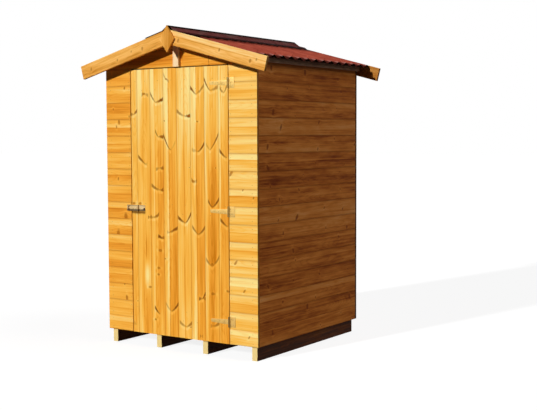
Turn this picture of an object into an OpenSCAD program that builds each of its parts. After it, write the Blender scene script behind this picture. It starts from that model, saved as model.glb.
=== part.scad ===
// Timber garden shed: four skids, a boarded floor, clad walls, a ledged and braced door
// on three T-hinges with a hasp, and a pitched roof of corrugated sheets.
// +Z is up, the door faces -Y, and the ground is at z = 0.

/* [Walls] */
// Width over the side wall cladding
wall_w = 1238; // [1000:1:1600]
// Depth over the front and back cladding
wall_d = 1238; // [900:1:1600]
// Thickness of the wall cladding
clad_t = 19; // [12:0.5:28]
// Side of the square posts behind the cladding
post_s = 40; // [30:1:60]

/* [Base] */
// Height of the skids
skid_h = 90; // [50:1:140]
// Thickness of each skid
skid_t = 40; // [30:1:60]
// Distance from the outside of the back wall to the end of the skids
skid_back_inset = 33; // [20:1:120]
// Thickness of the floor boards
floor_t = 19; // [14:1:28]

/* [Roof] */
// Height from the ground to the top of the ridge cap
overall_h = 2100; // [1950:1:2400]
// Slope of the roof in degrees
roof_pitch = 15; // [12:0.5:20]
// Reach of the roof sheets past the side walls, measured level
eave_over = 56; // [30:1:120]
// Reach of the roof sheets past the front wall, and past the back wall
gable_over = 75; // [40:1:160]
// Drop from the top of the ridge cap to the line of the bargeboards' top edges
cap_rise = 25; // [20:1:40]
// Distance from one corrugation to the next
wave_pitch = 98.6; // [76:0.1:120]
// Depth of the corrugations
wave_h = 18; // [12:0.5:36]
// Thickness of the roof sheets
sheet_t = 3; // [2:0.1:4]
// Distance from the sheets' front edge back to the crest that it cuts off
wave_lead = 16; // [0:1:49]
// Height of the sheets' crests above the bargeboards' top edges
sheet_rise = 3; // [0:0.5:8]
// Gap between the two roof sheets at the ridge
sheet_gap = 20; // [10:1:40]
// Level width from the ridge to the edge of the ridge cap
cap_reach = 190; // [110:1:240]
// Reach of the ridge cap past the back bargeboards
cap_tail = 50; // [20:1:90]
// Length along the ridge of the corner cut off each wing of the cap at the back
cap_clip_l = 120; // [20:1:150]
// Width of that corner
cap_clip_w = 90; // [20:1:100]
// Thickness of the ridge cap
cap_t = 2.5; // [2:0.1:4]
// Slope of the raised middle of the ridge cap in degrees
cap_flank = 36; // [30:1:45]
// Radius along the top of the ridge cap
cap_r = 14; // [8:1:20]
// Width of the ridge beam
beam_w = 45; // [35:1:70]
// Depth of the ridge beam
beam_h = 70; // [50:1:110]
// Width of each eaves purlin
purlin_w = 60; // [45:1:80]
// Height of each eaves purlin above the cladding
purlin_h = 37; // [28:1:60]
// Distance that each eaves purlin stands out from the cladding
purlin_proud = 22; // [0:1:40]

/* [Bargeboards] */
// Depth of the bargeboards, square to the slope
barge_h = 90; // [70:1:120]
// Thickness of the bargeboards
barge_t = 19; // [14:1:25]
// Reach of the bargeboards past the roof sheets' eaves, measured level
barge_reach = 85; // [20:1:120]
// Width of the diamond plate over the joint of the bargeboards
finial_w = 120; // [80:1:160]
// Height of the diamond plate
finial_h = 172; // [120:1:220]
// Thickness of the diamond plate
finial_t = 12; // [8:1:20]
// Width of the upright batten on the front gable
batten_w = 45; // [35:1:60]
// Thickness of the upright batten
batten_t = 20; // [15:1:25]

/* [Door] */
// Width of the opening in the cladding
door_w = 810; // [700:1:900]
// Height from the ground to the head of the opening
door_top = 1844; // [1700:1:1850]
// Gap round the door leaf
door_gap = 5.5; // [5:0.5:8]
// Thickness of the door boards
leaf_t = 14; // [12:1:19]
// Overlap of the posts and the head behind the leaf's edges
stop_lap = 10; // [6:1:15]
// Thickness of the ledges and braces
ledge_t = 19; // [14:1:25]
// Width of the ledges
ledge_h = 95; // [70:1:120]
// Width of the braces
brace_w = 80; // [60:1:100]
// Distance from each end of a ledge to the leaf's edge
ledge_inset = 20; // [16:1:40]

/* [Hinges] */
// Height of the bottom hinge
hinge_low_z = 232; // [150:1:400]
// Height of the middle hinge
hinge_mid_z = 928; // [700:1:1100]
// Height of the top hinge
hinge_top_z = 1732; // [1500:1:1760]
// Thickness of the hinge plates
hinge_t = 2.5; // [2:0.1:4]
// Outer radius of the hinge knuckles
knuckle_r = 6; // [5:0.1:7]
// Radius of the hinge pins
pin_r = 2.5; // [1.5:0.1:3]
// Running clearance round pins and between knuckles
pin_gap = 0.3; // [0.2:0.1:0.5]
// Height of the leaf on the wall
plate_h = 66; // [50:1:90]
// Width of the leaf on the wall, from the pin
plate_w = 46; // [30:1:60]
// Length of the strap on the door, from the pin
strap_l = 146; // [100:1:300]
// Height of the strap at the pin
strap_h = 34; // [26:1:44]
// Height of the strap at its tip
strap_tip = 22; // [14:1:26]

/* [Hasp] */
// Height of the hasp
hasp_z = 925; // [700:1:1200]
// Distance from the door's free edge to the hasp's pin
hasp_in = 55; // [45:1:90]
// Height of the hasp's plates
hasp_h = 40; // [34:1:50]
// Length of the fixed plate on the door, from the pin
hasp_plate_l = 60; // [40:1:80]
// Width of metal between the strap's slot and its free end
hasp_end = 11.5; // [8:0.5:20]
// Thickness of the hasp's plates
hasp_t = 2.5; // [2:0.1:4]
// Distance from the hasp's pin to the staple
staple_at = 75; // [70:1:85]
// Diameter of the staple's rod
staple_d = 5; // [4:0.5:6]
// Distance between the centres of the staple's legs
staple_w = 20; // [16:1:24]
// Reach of the staple from the wall
staple_reach = 25; // [20:1:32]
// Clearance of the strap's slot round the staple
slot_gap = 2.5; // [2:0.5:4]

/* [Hidden] */
$fn = 48;
// Small gap that keeps bent and sloping pieces from overlapping where they seat
seat = 0.4;
// How far a shape runs past what it cuts or joins
past = 1;
// Straight steps along each corrugation, and round the top of the ridge cap
wave_steps = 12;
cap_steps = 12;
slope = tan(roof_pitch);
lean = cos(roof_pitch);
half_w = wall_w / 2;
half_in = half_w - clad_t;
half_door = door_w / 2;
eave_x = half_w + eave_over;
roof_l = wall_d + 2 * gable_over;
whole_l = finial_t + 2 * barge_t + roof_l + cap_tail;
// Places along Y, from the front of the whole shed to its back
barge_y = -whole_l / 2 + finial_t;
roof_y = barge_y + barge_t;
front_y = roof_y + gable_over;
back_y = front_y + wall_d;
roof_end_y = roof_y + roof_l;
barge_end_y = roof_end_y + barge_t;
inner_y = front_y + clad_t;
inner_end_y = back_y - clad_t;
// Heights
floor_z = skid_h + floor_t;
line_z = overall_h - cap_rise;
under = wave_h + sheet_t - sheet_rise;
plate_z = roof_z(half_w) - purlin_h;
purlin_out = half_w + purlin_proud;
purlin_in = purlin_out - purlin_w;
beam_z = roof_z(0) - beam_h;
// Door leaf
leaf_x = half_door - door_gap;
leaf_top = door_top - door_gap;
post_x = half_door - door_gap - stop_lap;
head_z = leaf_top - stop_lap;
ledge_x = leaf_x - ledge_inset;
ledge_y = front_y + leaf_t;
// Pins: midway in the gap beside the leaf, just in front of the boards
hinge_x = half_door - door_gap / 2;
hinge_y = front_y - knuckle_r - pin_gap;
knuckle_h = plate_h / 3;
hasp_x = -leaf_x + hasp_in;
hasp_y = front_y - knuckle_r - pin_gap;
staple_x = hasp_x - staple_at;
slot_out = staple_at + staple_d / 2 + 2 * slot_gap;
slot_in = staple_at - staple_d / 2 - slot_gap;
hasp_l = slot_out + hasp_end;
staple_plate_w = 3 * staple_d;
staple_plate_t = hasp_t / 2;

pine = "#e2a44e";
shade_pine = "#c98a3e";
skid_pine = "#d9a860";
zinc = "#b9bcc0";
sheet_red = "#9c4238";
cap_red = "#5c2a28";

// Height of the seat under the roof sheets' valleys at a level distance x from the ridge
function roof_z(x) = line_z - abs(x) * slope - under / lean - seat;

// A flat shape drawn in X and Z, made solid from y0 to y1
module upright(y0, y1) {
    translate([0, y1, 0])
        rotate([90, 0, 0])
            linear_extrude(y1 - y0)
                children();
}

module box(low, high) {
    translate(low)
        cube(high - low);
}

// The shape of a whole gable wall, notched for the eaves purlins and the ridge beam
module gable_outline() {
    right = [
        [half_w, skid_h],
        [half_w, plate_z],
        [purlin_in, plate_z],
        [purlin_in, roof_z(purlin_in)],
        [beam_w / 2, roof_z(beam_w / 2)],
        [beam_w / 2, beam_z]
    ];
    left = [for (i = [len(right) - 1:-1:0]) [-right[i][0], right[i][1]]];
    polygon(concat(right, left));
}

// ---------------------------------------------------------------- base

module skid(place) {
    span = half_in - skid_t / 2;
    x = -span + place * 2 * span / 3;
    color(skid_pine)
        box([x - skid_t / 2, inner_y, 0], [x + skid_t / 2, back_y - skid_back_inset, skid_h]);
}

module floor_boards() {
    color(shade_pine)
        box([-half_in, inner_y, skid_h], [half_in, inner_end_y, floor_z]);
}

// ---------------------------------------------------------------- walls

module front_wall(side) {
    low = side < 0 ? -half_w : half_door;
    high = side < 0 ? -half_door : half_w;
    color(pine)
        intersection() {
            upright(front_y, inner_y) gable_outline();
            box([low, front_y - past, 0], [high, inner_y + past, door_top]);
        }
}

module front_gable() {
    color(pine)
        intersection() {
            upright(front_y, inner_y) gable_outline();
            box([-half_w, front_y - past, door_top], [half_w, inner_y + past, overall_h]);
        }
}

module back_wall() {
    color(pine)
        upright(inner_end_y, back_y) gable_outline();
}

module side_wall(side) {
    low = side < 0 ? -half_w : half_in;
    color(shade_pine)
        box([low, inner_y, skid_h], [low + clad_t, inner_end_y, plate_z]);
}

module corner_post(side, back) {
    x = side < 0 ? -half_in : half_in - post_s;
    y = back ? inner_end_y - post_s : inner_y;
    color(skid_pine)
        box([x, y, floor_z], [x + post_s, y + post_s, plate_z]);
}

module door_post(side) {
    x = side < 0 ? -post_x - post_s : post_x;
    color(skid_pine)
        box([x, inner_y, floor_z], [x + post_s, inner_y + post_s, head_z + post_s]);
}

module door_head() {
    color(skid_pine)
        box([-post_x, inner_y, head_z], [post_x, inner_y + post_s, head_z + post_s]);
}

module gable_batten() {
    color(pine)
        box([-batten_w / 2, front_y - batten_t, door_top], [batten_w / 2, front_y, beam_z]);
}

// ---------------------------------------------------------------- roof

module ridge_beam() {
    half = beam_w / 2;
    color(pine)
        upright(roof_y, roof_end_y)
            polygon([
                [-half, beam_z],
                [half, beam_z],
                [half, roof_z(half)],
                [0, roof_z(0)],
                [-half, roof_z(half)]
            ]);
}

module eaves_purlin(side) {
    color(shade_pine)
        upright(front_y, back_y)
            polygon([
                [side * purlin_in, plate_z],
                [side * purlin_out, plate_z],
                [side * purlin_out, roof_z(purlin_out)],
                [side * purlin_in, roof_z(purlin_in)]
            ]);
}

// Moves a shape from the slope's own frame, X down the slope and Z square to it, to its place
module on_slope(side) {
    mirror([side < 0 ? 1 : 0, 0, 0])
        translate([0, 0, line_z])
            rotate([0, roof_pitch, 0])
                children();
}

// The sheets' wave along Y, as one closed strip
module wave_strip() {
    steps = ceil(roof_l / wave_pitch * wave_steps);
    mid = sheet_rise - wave_h / 2;
    ys = [for (i = [0:steps]) roof_l * i / steps];
    top = [for (y = ys) [y, mid + wave_h / 2 * cos(360 * (y + wave_lead) / wave_pitch)]];
    low = [for (i = [steps:-1:0]) [top[i][0], top[i][1] - sheet_t]];
    polygon(concat(top, low));
}

module roof_sheet(side) {
    start = sheet_gap / 2 / lean;
    color(sheet_red)
        on_slope(side)
            translate([start, roof_y, 0])
                rotate([90, 0, 90])
                    linear_extrude(eave_x / lean - start)
                        wave_strip();
}

// One face of the ridge cap, from the left wing's edge over the top to the right wing's edge
function cap_face(inset) =
    let (
        r = cap_r - inset,
        z0 = overall_h - cap_r,
        wing_z = line_z + (sheet_rise + seat + cap_t - inset) / lean,
        foot = (z0 + r / cos(cap_flank) - wing_z) / (tan(cap_flank) - slope),
        left = [[-cap_reach, wing_z - cap_reach * slope], [-foot, wing_z - foot * slope]],
        top = [
            for (i = [0:cap_steps])
                let (a = cap_flank * (2 * i / cap_steps - 1))
                    [r * sin(a), z0 + r * cos(a)]
        ],
        right = [[foot, wing_z - foot * slope], [cap_reach, wing_z - cap_reach * slope]]
    )
    concat(left, top, right);

// What is cut off the back corner of one wing of the cap, running past both of its edges
module cap_corner(side, end_y) {
    past_l = past * cap_clip_l / cap_clip_w;
    translate([side * cap_reach, end_y, 0])
        linear_extrude(overall_h + past)
            polygon([
                [-side * (cap_clip_w + past), past_l],
                [side * past, -cap_clip_l - past_l],
                [side * past, past_l]
            ]);
}

module ridge_cap() {
    outer = cap_face(0);
    inner = cap_face(cap_t);
    back = [for (i = [len(inner) - 1:-1:0]) inner[i]];
    end_y = barge_end_y + cap_tail;
    color(cap_red)
        difference() {
            upright(barge_y, end_y)
                polygon(concat(outer, back));
            for (side = [-1, 1])
                cap_corner(side, end_y);
        }
}

module bargeboard(side, back) {
    tip = eave_x + barge_reach;
    y = back ? roof_end_y : barge_y;
    foot_x = tip - barge_h * sin(roof_pitch);
    foot_z = line_z - tip * slope - barge_h * lean;
    color(pine)
        upright(y, y + barge_t)
            polygon([
                [0, line_z],
                [side * tip, line_z - tip * slope],
                [side * foot_x, foot_z],
                [0, line_z - barge_h / lean]
            ]);
}

// The front one stands before the ridge cap's end, and the back one is under it
module finial(back) {
    y = back ? barge_end_y : barge_y - finial_t;
    mid = overall_h - finial_h / 2 - (back ? cap_t + seat : 0);
    color(pine)
        upright(y, y + finial_t)
            polygon([
                [0, mid - finial_h / 2],
                [finial_w / 2, mid],
                [0, mid + finial_h / 2],
                [-finial_w / 2, mid]
            ]);
}

// ---------------------------------------------------------------- door

module door_leaf() {
    color(pine)
        box([-leaf_x, front_y, skid_h], [leaf_x, front_y + leaf_t, leaf_top]);
}

module door_ledge(z) {
    color(skid_pine)
        box([-ledge_x, ledge_y, z - ledge_h / 2], [ledge_x, ledge_y + ledge_t, z + ledge_h / 2]);
}

// Each brace rises from a ledge's hinge end to the next ledge's free end
module door_braces() {
    heights = [hinge_low_z, hinge_mid_z, hinge_top_z];
    color(skid_pine)
        upright(ledge_y, ledge_y + ledge_t)
            for (i = [0, 1]) {
                low = heights[i] + ledge_h / 2;
                high = heights[i + 1] - ledge_h / 2;
                run = 2 * ledge_x - brace_w;
                cut = brace_w * sqrt(pow(run, 2) + pow(high - low, 2)) / (high - low);
                polygon([
                    [ledge_x - cut, low],
                    [ledge_x, low],
                    [-ledge_x + cut, high],
                    [-ledge_x, high]
                ]);
            }
}

// ---------------------------------------------------------------- hinges

// A round rod along Z from z0 to z1 on the hinge pin's line
module rod(r, z0, z1) {
    translate([0, 0, z0])
        cylinder(h = z1 - z0, r = r);
}

// The leaf on the wall: two outer knuckles with the pin fixed in them
module hinge_plate(z) {
    side_h = knuckle_h - pin_gap;
    color(zinc)
        translate([hinge_x, hinge_y, z])
            union() {
                for (s = [-1, 1]) {
                    low = s < 0 ? -plate_h / 2 : plate_h / 2 - side_h;
                    rod(knuckle_r, low, low + side_h);
                    translate([0, knuckle_r + pin_gap - hinge_t, low])
                        cube([plate_w, hinge_t, side_h]);
                }
                translate([knuckle_r + 2 * pin_gap, knuckle_r + pin_gap - hinge_t, -plate_h / 2])
                    cube([plate_w - knuckle_r - 2 * pin_gap, hinge_t, plate_h]);
                rod(pin_r, -plate_h / 2, plate_h / 2);
            }
}

// The tapered strap on the door, with one knuckle between the two on the wall
module hinge_strap(z) {
    knuckle = knuckle_h - 2 * pin_gap;
    shoulder = knuckle_r + 2 * pin_gap;
    color(zinc)
        translate([hinge_x, hinge_y, z])
            difference() {
                union() {
                    rod(knuckle_r, -knuckle / 2, knuckle / 2);
                    translate([-shoulder - past, knuckle_r + pin_gap - hinge_t, -knuckle / 2])
                        cube([shoulder + past, hinge_t, knuckle]);
                    upright(knuckle_r + pin_gap - hinge_t, knuckle_r + pin_gap)
                        polygon([
                            [-shoulder, -strap_h / 2],
                            [-shoulder, strap_h / 2],
                            [-strap_l + strap_tip / 2, strap_tip / 2],
                            [-strap_l + strap_tip / 2, -strap_tip / 2]
                        ]);
                    upright(knuckle_r + pin_gap - hinge_t, knuckle_r + pin_gap)
                        translate([-strap_l + strap_tip / 2, 0])
                            circle(d = strap_tip);
                }
                rod(pin_r + pin_gap, -knuckle, knuckle);
            }
}

// ---------------------------------------------------------------- hasp and staple

// The plate on the door: two outer knuckles with the pin fixed in them
module hasp_plate() {
    side_h = hasp_h / 3 - pin_gap;
    color(zinc)
        translate([hasp_x, hasp_y, hasp_z])
            union() {
                for (s = [-1, 1]) {
                    low = s < 0 ? -hasp_h / 2 : hasp_h / 2 - side_h;
                    rod(knuckle_r, low, low + side_h);
                    translate([0, knuckle_r + pin_gap - hasp_t, low])
                        cube([hasp_plate_l, hasp_t, side_h]);
                }
                translate([knuckle_r + 2 * pin_gap, knuckle_r + pin_gap - hasp_t, -hasp_h / 2])
                    cube([hasp_plate_l - knuckle_r - 2 * pin_gap, hasp_t, hasp_h]);
                rod(pin_r, -hasp_h / 2, hasp_h / 2);
            }
}

// The swinging strap, whose slot drops over the staple
module hasp_strap() {
    knuckle = hasp_h / 3 - 2 * pin_gap;
    shoulder = knuckle_r + 2 * pin_gap;
    slot_h = staple_w + staple_d + 2 * slot_gap;
    color(zinc)
        translate([hasp_x, hasp_y, hasp_z])
            difference() {
                union() {
                    rod(knuckle_r, -knuckle / 2, knuckle / 2);
                    translate([-shoulder - past, -hasp_t / 2, -knuckle / 2])
                        cube([shoulder + past, hasp_t, knuckle]);
                    translate([-hasp_l, -hasp_t / 2, -hasp_h / 2])
                        cube([hasp_l - shoulder, hasp_t, hasp_h]);
                }
                rod(pin_r + pin_gap, -knuckle, knuckle);
                translate([-slot_out, -hasp_t, -slot_h / 2])
                    cube([slot_out - slot_in, 2 * hasp_t, slot_h]);
            }
}

// A plate on the wall with a bent rod that the strap drops over
module staple() {
    bend_y = front_y - staple_reach + staple_d / 2 + staple_w / 2;
    foot_y = front_y - staple_plate_t / 2;
    color(zinc)
        union() {
            box([staple_x - staple_plate_w / 2, front_y - staple_plate_t, hasp_z - hasp_h / 2],
                [staple_x + staple_plate_w / 2, front_y, hasp_z + hasp_h / 2]);
            for (s = [-1, 1])
                translate([staple_x, foot_y, hasp_z + s * staple_w / 2])
                    rotate([90, 0, 0])
                        cylinder(h = foot_y - bend_y, d = staple_d);
            translate([staple_x, bend_y, hasp_z])
                rotate([0, 90, 0])
                    rotate([0, 0, 180])
                        rotate_extrude(angle = 180)
                            translate([staple_w / 2, 0])
                                circle(d = staple_d);
        }
}

// ---------------------------------------------------------------- nodes

skid(0);  // skid_1
skid(1);  // skid_2
skid(2);  // skid_3
skid(3);  // skid_4
floor_boards();  // floor
front_wall(-1);  // front_wall_left
front_wall(1);  // front_wall_right
front_gable();
side_wall(-1);  // left_wall
side_wall(1);  // right_wall
back_wall();
corner_post(-1, false);  // corner_post_front_left
corner_post(1, false);  // corner_post_front_right
corner_post(-1, true);  // corner_post_back_left
corner_post(1, true);  // corner_post_back_right
door_post(-1);  // door_post_left
door_post(1);  // door_post_right
door_head();
gable_batten();
ridge_beam();
eaves_purlin(-1);  // eaves_purlin_left
eaves_purlin(1);  // eaves_purlin_right
roof_sheet(-1);  // roof_sheet_left
roof_sheet(1);  // roof_sheet_right
ridge_cap();
bargeboard(-1, false);  // bargeboard_front_left
bargeboard(1, false);  // bargeboard_front_right
bargeboard(-1, true);  // bargeboard_back_left
bargeboard(1, true);  // bargeboard_back_right
finial(false);  // finial_front
finial(true);  // finial_back
door_leaf();
door_ledge(hinge_low_z);  // door_ledge_bottom
door_ledge(hinge_mid_z);  // door_ledge_middle
door_ledge(hinge_top_z);  // door_ledge_top
door_braces();
hinge_plate(hinge_low_z);  // hinge_plate_bottom
hinge_plate(hinge_mid_z);  // hinge_plate_middle
hinge_plate(hinge_top_z);  // hinge_plate_top
hinge_strap(hinge_low_z);  // hinge_strap_bottom
hinge_strap(hinge_mid_z);  // hinge_strap_middle
hinge_strap(hinge_top_z);  // hinge_strap_top
hasp_plate();
hasp_strap();
staple();
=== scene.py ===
import math
import random

import bmesh
import bpy
import numpy as np
from mathutils import Matrix, Vector


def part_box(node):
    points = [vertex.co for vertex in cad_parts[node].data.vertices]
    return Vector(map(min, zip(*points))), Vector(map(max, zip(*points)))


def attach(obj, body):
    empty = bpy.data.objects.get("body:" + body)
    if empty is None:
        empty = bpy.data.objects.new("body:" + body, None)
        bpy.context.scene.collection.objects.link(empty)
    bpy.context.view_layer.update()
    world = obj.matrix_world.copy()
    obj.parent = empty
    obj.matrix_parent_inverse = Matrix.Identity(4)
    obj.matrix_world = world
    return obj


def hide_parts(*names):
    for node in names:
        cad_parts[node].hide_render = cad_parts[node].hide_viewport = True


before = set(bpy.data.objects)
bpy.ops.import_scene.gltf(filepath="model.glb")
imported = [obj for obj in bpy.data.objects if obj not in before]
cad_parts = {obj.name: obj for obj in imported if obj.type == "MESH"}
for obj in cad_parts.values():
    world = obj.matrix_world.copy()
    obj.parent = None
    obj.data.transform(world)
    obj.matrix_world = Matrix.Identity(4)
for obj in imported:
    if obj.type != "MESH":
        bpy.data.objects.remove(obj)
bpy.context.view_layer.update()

MM = 0.001
X, Y, Z = Vector((1, 0, 0)), Vector((0, 1, 0)), Vector((0, 0, 1))
TO_FRONT = -Y

# ---- places, from the frame

FRONT_Y, FRONT_INNER_Y = (corner.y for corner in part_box("front_wall_left"))
BACK_INNER_Y, BACK_Y = (corner.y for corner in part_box("back_wall"))
WALL_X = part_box("back_wall")[1].x
WALL_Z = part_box("back_wall")[0].z
CLAD = FRONT_INNER_Y - FRONT_Y
PLATE_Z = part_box("right_wall")[1].z
DOOR_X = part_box("front_wall_right")[0].x
DOOR_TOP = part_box("front_gable")[0].z
DOOR_LOW, DOOR_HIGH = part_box("door_leaf")
PURLIN_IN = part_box("eaves_purlin_right")[0].x
BEAM_LOW, BEAM_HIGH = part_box("ridge_beam")
PITCH = math.radians(15)
SLOPE = math.tan(PITCH)
PURLIN_TOP = BEAM_HIGH.z - PURLIN_IN * SLOPE
CAP_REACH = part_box("ridge_cap")[1].x
LATCH_LOW, LATCH_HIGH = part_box("hasp_strap")
LATCH_Z = (LATCH_LOW.z + LATCH_HIGH.z) / 2

# Metal on the front: the hinges' pins, and the face that the screws stand on
KNUCKLE = 6 * MM
HINGE_PIN_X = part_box("hinge_plate_top")[0].x + KNUCKLE
METAL_Y = FRONT_Y - 2.5 * MM

# Roof sheets: the first crest lies a lead before their front edge. Their height is measured from
# where the bargeboards' upper edges meet
SHEET_LOW, SHEET_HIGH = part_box("roof_sheet_right")
EAVE_X = SHEET_HIGH.x
WAVE_PITCH = 98.6 * MM
WAVE_LEAD = 16 * MM
WAVE_DEPTH = 18 * MM
WAVE_RISE = 3 * MM
RIDGE_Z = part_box("bargeboard_front_right")[1].z

# Where the pale flare stands on the door: x and height
DOOR_FLARE = (-0.270, 0.48)

# Boards: the lowest of each wall is ripped, so that a joint runs along the top of the door
COVER = 110.5 * MM
LOWEST = (DOOR_TOP - WALL_Z) % COVER
LEAST = 20 * MM
GAP = 0.3 * MM
BARGE_H = 90 * MM
UNDER_SHEETS = 8 * MM

# ---- node materials


def tone(code):
    """A colour written as #rrggbb, as linear values."""
    parts = [int(code[i:i + 2], 16) / 255 for i in (1, 3, 5)]
    return tuple(p / 12.92 if p < 0.04045 else ((p + 0.055) / 1.055) ** 2.4 for p in parts) + (1.0,)


def adding(operation, turned=False):
    """A method that adds a Math node to the graph of a node's output."""
    def method(self, *others):
        values = (self, *others)
        return self.graph.math(operation, *(reversed(values) if turned else values))
    return method


class Value:
    """A node's output. Sums with it add nodes to its graph."""

    __add__ = adding("ADD")
    __sub__ = adding("SUBTRACT")
    __rsub__ = adding("SUBTRACT", turned=True)
    __mul__ = adding("MULTIPLY")
    __truediv__ = adding("DIVIDE")
    to_the = adding("POWER")
    at_least = adding("MAXIMUM")
    size = adding("ABSOLUTE")
    root = adding("SQRT")
    exponential = adding("EXPONENT")
    cosine = adding("COSINE")
    fraction = adding("FRACT")

    def __init__(self, graph, socket):
        self.graph = graph
        self.socket = socket

    def bell(self, width):
        """1 where this is 0, falling smoothly to 0 over about twice the width."""
        share = self / width
        return (share * share * -1.0).exponential()

    def smooth(self, low, high, kind="SMOOTHSTEP"):
        """0 at low and 1 at high, with a smooth change between. Low may be above high."""
        node = self.graph.add("MapRange", interpolation_type=kind)
        self.graph.put_all(node, {"Value": self, "From Min": low, "From Max": high})
        return Value(self.graph, node.outputs["Result"])


class Graph:
    """Nodes of a material or of the sky. Colours are written as #rrggbb."""

    def __init__(self, tree):
        self.tree = tree

    def add(self, kind, **settings):
        node = self.tree.nodes.new("ShaderNode" + kind)
        for key, value in settings.items():
            setattr(node, key, value)
        return node

    def put(self, socket, value):
        if isinstance(value, Value):
            self.tree.links.new(value.socket, socket)
        else:
            socket.default_value = tone(value) if isinstance(value, str) else value

    def put_all(self, node, values):
        for key, value in values.items():
            self.put(node.inputs[key], value)

    def out(self, node, key):
        return Value(self, node.outputs[key])

    def math(self, operation, *values):
        node = self.add("Math", operation=operation)
        self.put_all(node, dict(enumerate(values)))
        return self.out(node, 0)

    def attribute(self, name):
        """The three parts of a vector stored on the mesh."""
        return self.split(self.out(self.add("Attribute", attribute_name=name), "Vector"))

    def place(self):
        """Where the point lies at rest, in metres."""
        return self.out(self.add("TexCoord"), "Object")

    def seen(self):
        """1 where the camera looks at the point straight or in a mirror."""
        path = self.add("LightPath")
        return self.out(path, "Is Camera Ray").at_least(self.out(path, "Is Glossy Ray"))

    def split(self, vector):
        node = self.add("SeparateXYZ")
        self.put(node.inputs[0], vector)
        return [Value(self, socket) for socket in node.outputs]

    def vector(self, x, y, z):
        node = self.add("CombineXYZ")
        self.put_all(node, {"X": x, "Y": y, "Z": z})
        return self.out(node, 0)

    def noise(self, vector, scale=1.0, detail=2.0, roughness=0.5):
        node = self.add("TexNoise")
        settings = {"Vector": vector, "Scale": scale, "Detail": detail, "Roughness": roughness}
        self.put_all(node, settings)
        return self.out(node, "Fac")

    def mix(self, share, a, b):
        node = self.add("Mix", data_type="RGBA")
        self.put_all(node, {"Factor": share, "A": a, "B": b})
        return self.out(node, "Result")

    def ramp(self, value, *stops):
        node = self.add("ValToRGB")
        self.put(node.inputs["Fac"], value)
        marks = node.color_ramp.elements
        while len(marks) < len(stops):
            marks.new(0.5)
        for mark, (place, colour) in zip(marks, stops):
            mark.position = place
            mark.color = tone(colour)
        return self.out(node, "Color")


class Surface(Graph):
    """A node material round its shader."""

    def __init__(self, name, roughness=0.6, metallic=0.0, specular=0.5):
        self.material = bpy.data.materials.new(name)
        self.material.use_nodes = True
        super().__init__(self.material.node_tree)
        self.shader = self.tree.nodes["Principled BSDF"]
        settings = {"Roughness": roughness, "Metallic": metallic, "Specular IOR Level": specular}
        self.put_all(self.shader, settings)

    def bump(self, height, depth):
        node = self.add("Bump")
        self.put_all(node, {"Height": height, "Distance": depth})
        self.put(self.shader.inputs["Normal"], self.out(node, "Normal"))

    def coat(self, share, colour):
        """Lays a colour over what the surface has."""
        self.colour = self.mix(share, self.colour, colour)

    def done(self):
        self.put(self.shader.inputs["Base Color"], self.colour)
        return self.material


# The stain's tones, from the darkest late wood to the palest sapwood, and where they stand
TONE_PLACES = (0.02, 0.36, 0.62, 1.0)
HONEY = ("#cc780c", "#f09e2e", "#fcbc4c", "#ffe694")
GOLD = ("#c8700e", "#ee9b2e", "#fbb748", "#ffe08c")
CREAM = ("#cc8428", "#f0ac4e", "#fcc26c", "#ffe09c")
# The front's stain, darkened for the side and back walls: painted shade
DEEP_PAINTED_SHADE = ("#742e06", "#bc6826", "#da8438", "#eca25c")
SAWN = ("#8c6a48", "#bb946c", "#d0aa80", "#e4c6a2")
PALE = ("#c8966a", "#eac08c", "#f8d4a0", "#ffe6bc")
# Near-black brown, for the skids' sides
SKID_DARK = ("#1c0a04", "#3c1c0a", "#5a2e12", "#7c4a20")
DUSK = ("#46281e", "#7c503c", "#9c7054", "#b8947a")

SPIKE_TONE = "#864a0a"
KNOT_TONE = "#5a2206"
JOINT_TONE = "#8a4a10"
END_TONE = "#7a3a10"
# Painted shadow under the latch
LATCH_SHADOW_TONE = "#643a08"
# Painted shade on the hinges and the latch
PAINTED_SHADE_TONE = "#4a300a"

# How deep the grain and the sheets' fibres stand
RELIEF = 0.3 * MM

# How far the grain's noise is moved from one board to the next
GRAIN_SHIFT = 57.0


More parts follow.
